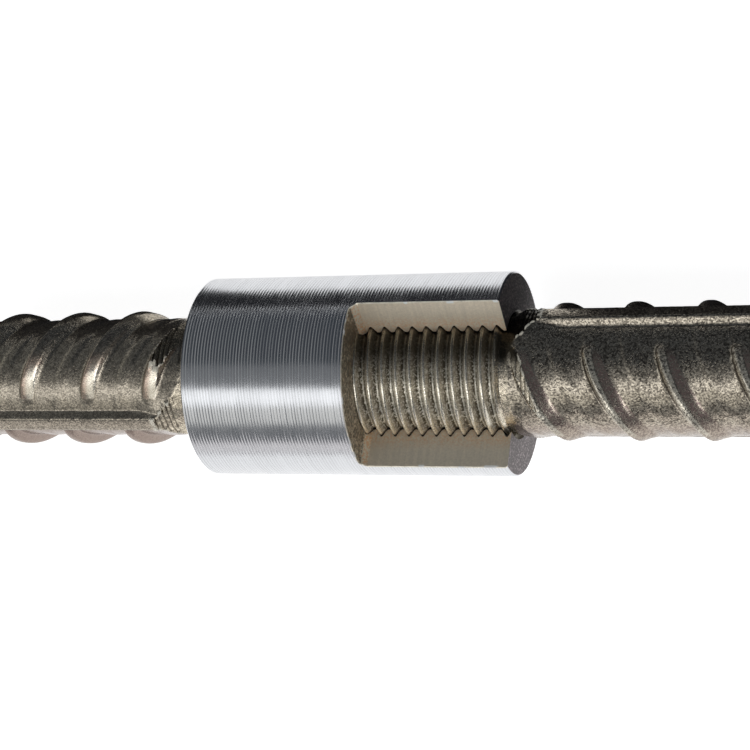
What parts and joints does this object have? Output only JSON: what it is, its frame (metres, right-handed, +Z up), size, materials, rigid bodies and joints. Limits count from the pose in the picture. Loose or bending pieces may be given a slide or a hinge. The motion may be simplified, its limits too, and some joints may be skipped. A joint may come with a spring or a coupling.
{
  "type": "rebar coupler",
  "caption": "Threaded steel sleeve that joins two ribbed reinforcing bars end to end, with part of its wall cut away to show the thread engaged.",
  "frame": {"origin": "middle of the sleeve on its axis, where the two bar ends butt", "axes": "+X along the bars towards the cut-away end of the sleeve, +Z up through the middle of the cut-away, +Y across"},
  "size_m": [0.164, 0.0356, 0.0356],
  "materials": {
    "turned_steel": "turned",
    "rolled_bar": "rolled with mill scale"
  },
  "bodies": {
    "root": {"coupler_sleeve": "turned_steel", "left_bar": "rolled_bar", "right_bar": "rolled_bar"}
  },
  "joints": []
}
